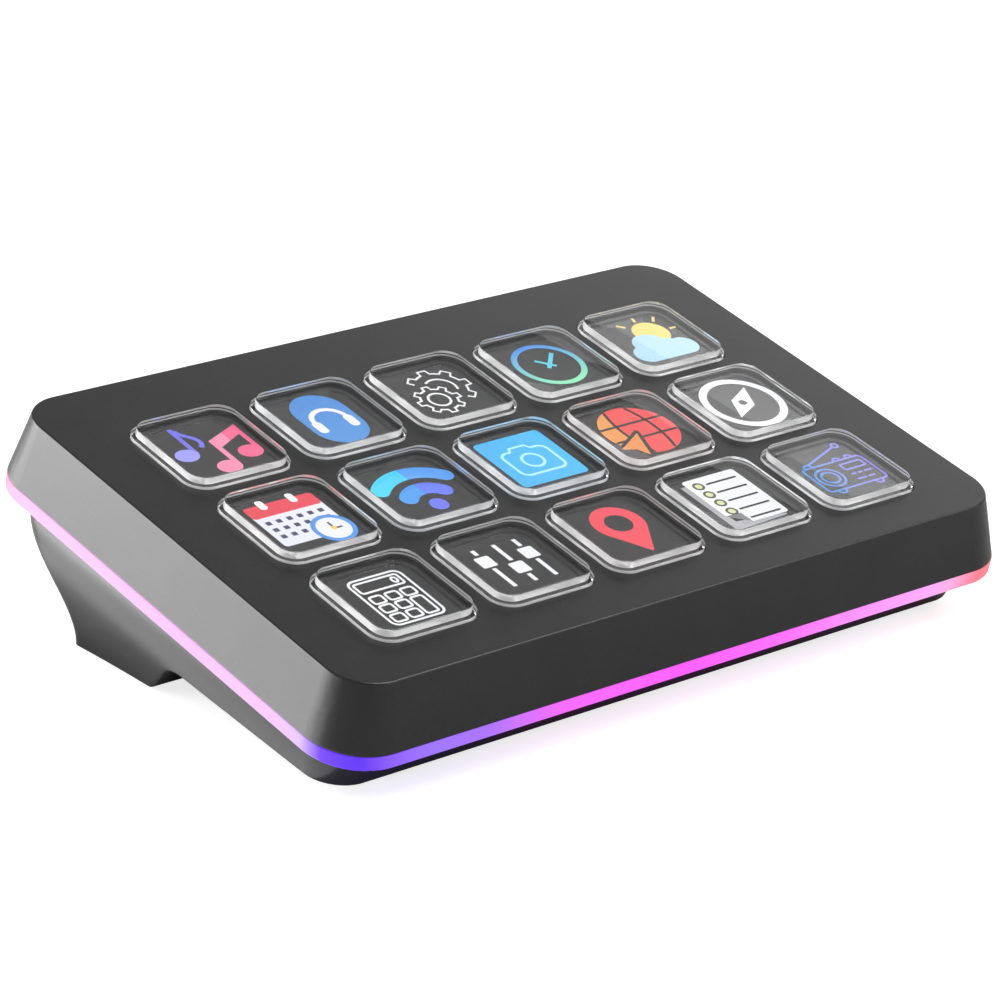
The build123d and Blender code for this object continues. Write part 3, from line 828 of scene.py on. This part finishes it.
def mixerPicture():
    rails = [[(-3.55, 4.8), (-3.55, 3.5)], [(-3.55, -0.2), (-3.55, -5.15)], [(0.3, 4.8), (0.3, 0.45)],
             [(0.3, -3.3), (0.3, -5.15)], [(4.05, 4.8), (4.05, 2.9)], [(4.05, -0.7), (4.05, -5.15)]]
    knobs = [softBox(x, y, 2.6, 2.7, 0.3) for x, y in ((-3.55, 1.6), (0.3, -1.45), (4.05, 1.1))]
    return [
        ("stroke", openLines(*rails), white, {"Width": 0.72}),
        ("fill", closedLines(*knobs), white, {}),
    ]


def pinPicture():
    drop = arc(0.35, 1.9, 4.33, -30, 210, 40) + [(0.05, -5.8), (0.3, -6.0), (0.6, -5.8)]
    return [
        ("fill", closedLines(drop, circle(0.35, 1.85, 2.2)), (srgb(248, 62, 80), srgb(252, 72, 90)), {}),
    ]


def listPicture():
    olive, grey = (srgb(74, 78, 52),) * 2, (srgb(178, 178, 182),) * 2
    levels = (4.9, 2.45, -0.04, -2.55, -5.05)
    under = [(-5.5, 5.7), (-4.0, 5.7), (-4.0, -5.0), (5.2, -6.2), (5.0, -6.6), (-5.4, -7.0)]
    fold = [(-4.45, -3.3), (-1.6, -3.4), (-1.4, -6.0)]
    sheet = fold[:1] + arc(-3.85, 6.3, 0.6, 180, 90, 5) + arc(5.4, 6.3, 0.6, 90, 0, 5)
    sheet += arc(5.4, -5.4, 0.6, 0, -90, 5) + fold[2:]
    rings = [(-2.55, y) for y in levels[:4]]
    return [
        ("fill", closedLines(under), grey, {}),
        ("fill", closedLines(sheet), white, {}),
        ("fill", closedLines(fold), (srgb(120, 120, 122), srgb(150, 150, 152)), {}),
        ("stroke", openLines(*[[(-1.0, y), (5.05, y)] for y in levels]), dark, {"Width": 0.42}),
        ("fill", closedLines(*[circle(x, y, 1.0, 24) for x, y in rings]), olive, {}),
        ("fill", closedLines(*[circle(x, y, 0.6, 20) for x, y in rings]), (srgb(228, 232, 176),) * 2, {}),
    ]


def radioPicture():
    shade = (srgb(46, 146, 226), srgb(142, 128, 236))
    knobs = [arc(x, 2.1, 0.62, 180, 0, 8) for x in (2.1, 4.6)] + [arc(-3.85, 2.1, 0.75, 180, 0, 8)]
    feet = [arc(x, -4.85, 0.75, 180, 360, 8) for x in (-3.4, 4.5)]
    dashes = [[(a, -1.95), (b, -1.95)] for a, b in ((1.4, 2.4), (2.8, 3.7), (4.1, 5.75))]
    dashes += [[(a, -3.4), (b, -3.4)] for a, b in ((1.4, 3.3), (3.7, 5.1))]
    body = [softBox(0.55, -1.38, 12.2, 6.7, 0.8), circle(-2.5, -1.4, 2.35), circle(-2.5, -1.4, 1.45),
            softBox(3.6, 0.12, 4.3, 1.5, 0.3)]
    rod, knob = [(-3.5, 2.75), (4.35, 5.4)], circle(4.9, 5.6, 0.55, 18)
    return [
        ("stroke", closedLines(*body, knob), shade, {"Width": 0.42}),
        ("stroke", openLines(rod, *knobs, *feet, *dashes), shade, {"Width": 0.42}),
    ]


pictureLook = {"thick": 0.004, "step": 0.005, "clear": 0.003, "aside": (1.0, 1.0)}
pictures = [  # name, drawing, and the way its inks shade, in degrees
    [("notes", notesPicture, 0), ("headphones", headphonesPicture, -90), ("gears", gearsPicture, 0),
     ("clock", clockPicture, -90), ("weather", weatherPicture, 0)],
    [("calendar", calendarPicture, 0), ("wireless", wirelessPicture, 0), ("camera", cameraPicture, 0),
     ("globe", globePicture, 0), ("compass", compassPicture, 0)],
    [("calculator", calculatorPicture, 0), ("mixer", mixerPicture, 0), ("pin", pinPicture, 0),
     ("list", listPicture, 0), ("radio", radioPicture, 0)],
]
glassTop = deckSpan("display_glass")[1].z
allInks = []


def makePicture(name, layers, turn, x, y):
    look = pictureLook
    whole, inks = bmesh.new(), []
    centre = deckRight * x + deckBack * y + deckUp * glassTop
    for level, (kind, lines, (first, last), values) in enumerate(layers):
        ink = screenInk(f"ink{len(allInks) + 1}", first, last, centre, turn)
        allInks.append(ink)
        settings = {k: v for k, v in values.items() if k != "at"}
        mesh = runTree(kind, lines, Thick=look["thick"], Ink=ink, **settings)
        half = look["thick"] / 2 if kind == "stroke" else 0  # a stroke lies half under its line
        lift = look["clear"] + level * look["step"] + half
        mesh.transform(Matrix.Translation((*values.get("at", (0, 0)), lift)))
        for face in mesh.polygons:
            face.material_index = len(inks)
        inks.append(ink)
        whole.from_mesh(mesh)
        bpy.data.meshes.remove(mesh)
    mesh = bpy.data.meshes.new(name)
    whole.to_mesh(mesh)
    whole.free()
    mesh.transform(deckPlace(x, y, glassTop))
    for ink in inks:
        mesh.materials.append(ink)
    addPiece(name, mesh, "housing")


for row, names in enumerate(pictures, 1):
    for column, (name, draw, turn) in enumerate(names, 1):
        low, high = deckSpan(f"key_r{row}_c{column}")
        across, along = pictureLook["aside"]
        x, y = (low.x + high.x) / 2 + across * mm, (low.y + high.y) / 2 + along * mm
        makePicture("picture_" + name, draw(), turn, x, y)
print("pictures drawn:", len(allInks), "inks")

# Floor, light and camera

stageLook = {"floor": 0.5, "roughness": 0.9, "glow": 0.78, "reach": 6.0, "drop": 0.00005, "fill": 0.26}


def makeFloor():
    finish, tree, shader = newFinish("paleFloor")
    shader.inputs["Base Color"].default_value = (stageLook["floor"],) * 3 + (1,)
    shader.inputs["Roughness"].default_value = stageLook["roughness"]
    shader.inputs["Specular IOR Level"].default_value = 0
    path = tree.nodes.new("ShaderNodeLightPath")
    glow = spread(tree, path.outputs["Is Camera Ray"], 0, stageLook["glow"])
    tree.links.new(glow, shader.inputs["Emission Strength"])
    shader.inputs["Emission Color"].default_value = (1, 1, 1, 1)
    mesh = bpy.data.meshes.new("floor")
    r, z = stageLook["reach"], -stageLook["drop"]
    mesh.from_pydata([(-r, -r, z), (r, -r, z), (r, r, z), (-r, r, z)], [], [(0, 1, 2, 3)])
    mesh.materials.append(finish)
    floor = bpy.data.objects.new("floor", mesh)
    bpy.context.scene.collection.objects.link(floor)


def makeWorld():
    world = bpy.data.worlds.new("studio")
    bpy.context.scene.world = world
    world.use_nodes = True
    tree = world.node_tree
    back = tree.nodes["Background"]
    path = tree.nodes.new("ShaderNodeLightPath")
    seen = addNode(tree, "ShaderNodeMath", {"operation": "MAXIMUM"})
    tree.links.new(path.outputs["Is Camera Ray"], seen.inputs[0])
    tree.links.new(path.outputs["Is Transmission Ray"], seen.inputs[1])
    tree.links.new(spread(tree, seen.outputs[0], stageLook["fill"], 1), back.inputs["Strength"])
    back.inputs["Color"].default_value = (1, 1, 1, 1)


softboxes = [
    {"name": "sideSoftbox", "at": (-0.47, 0.43, 0.18), "to": (-0.10, 0.04, 0.0),
     "size": (0.60, 0.34), "power": 6.2},
    {"name": "floorSoftbox", "at": (-0.200, 0.135, 0.002), "to": (-0.200, 0.135, 1.0),
     "size": (0.25, 0.33), "power": 1.2},
    {"name": "keySoftbox", "at": (0.45, -0.50, 1.0), "to": (0, 0, 0),
     "size": (0.8, 0.8), "power": 11},
    {"name": "rearCard", "at": (1.0, 0.70, 0.526), "to": (0.03, -0.005, 0.526),
     "size": (1.3, 0.74), "power": 3.0, "roll": -16},
    {"name": "frontCard", "at": (0.75, -0.95, 0.30), "to": (0, 0, 0.02),
     "size": (1.2, 0.6), "power": 2.4},
    {"name": "baseStrip", "at": (-0.0845, 0.0075, 0.0015), "to": (-0.0845, 0.0075, 1.0),
     "size": (0.045, 0.105), "power": 0.018},
]


def makeLights():
    for box in softboxes:
        light = bpy.data.lights.new(box["name"], "AREA")
        light.shape = "RECTANGLE"
        light.size, light.size_y = box["size"]
        light.energy = box["power"]
        lamp = bpy.data.objects.new(box["name"], light)
        lamp.location = box["at"]
        aim = (Vector(box["to"]) - Vector(box["at"])).to_track_quat("-Z", "Y").to_matrix()
        lamp.rotation_euler = (aim @ Matrix.Rotation(radians(box.get("roll", 0)), 3, "Z")).to_euler()
        bpy.context.scene.collection.objects.link(lamp)


cameraLook = {"at": (-0.37087, -0.42565, 0.22018), "right": (0.75949, -0.65030, 0.01662),
              "down": (-0.20542, -0.26400, -0.94239), "ahead": (0.61723, 0.71233, -0.33409),
              "lens": 144.53, "sensor": 36, "near": 0.01}


def makeCamera():
    look = cameraLook
    data = bpy.data.cameras.new("camera")
    data.lens = look["lens"]
    data.sensor_width = look["sensor"]
    data.clip_start = look["near"]
    camera = bpy.data.objects.new("camera", data)
    turn = Matrix((Vector(look["right"]), -Vector(look["down"]), -Vector(look["ahead"]))).transposed()
    camera.matrix_world = Matrix.Translation(look["at"]) @ turn.to_4x4()
    bpy.context.scene.collection.objects.link(camera)
    bpy.context.scene.camera = camera


makeFloor()
makeWorld()
makeLights()
makeCamera()
bpy.context.scene.view_settings.view_transform = "Standard"
print("stage set")
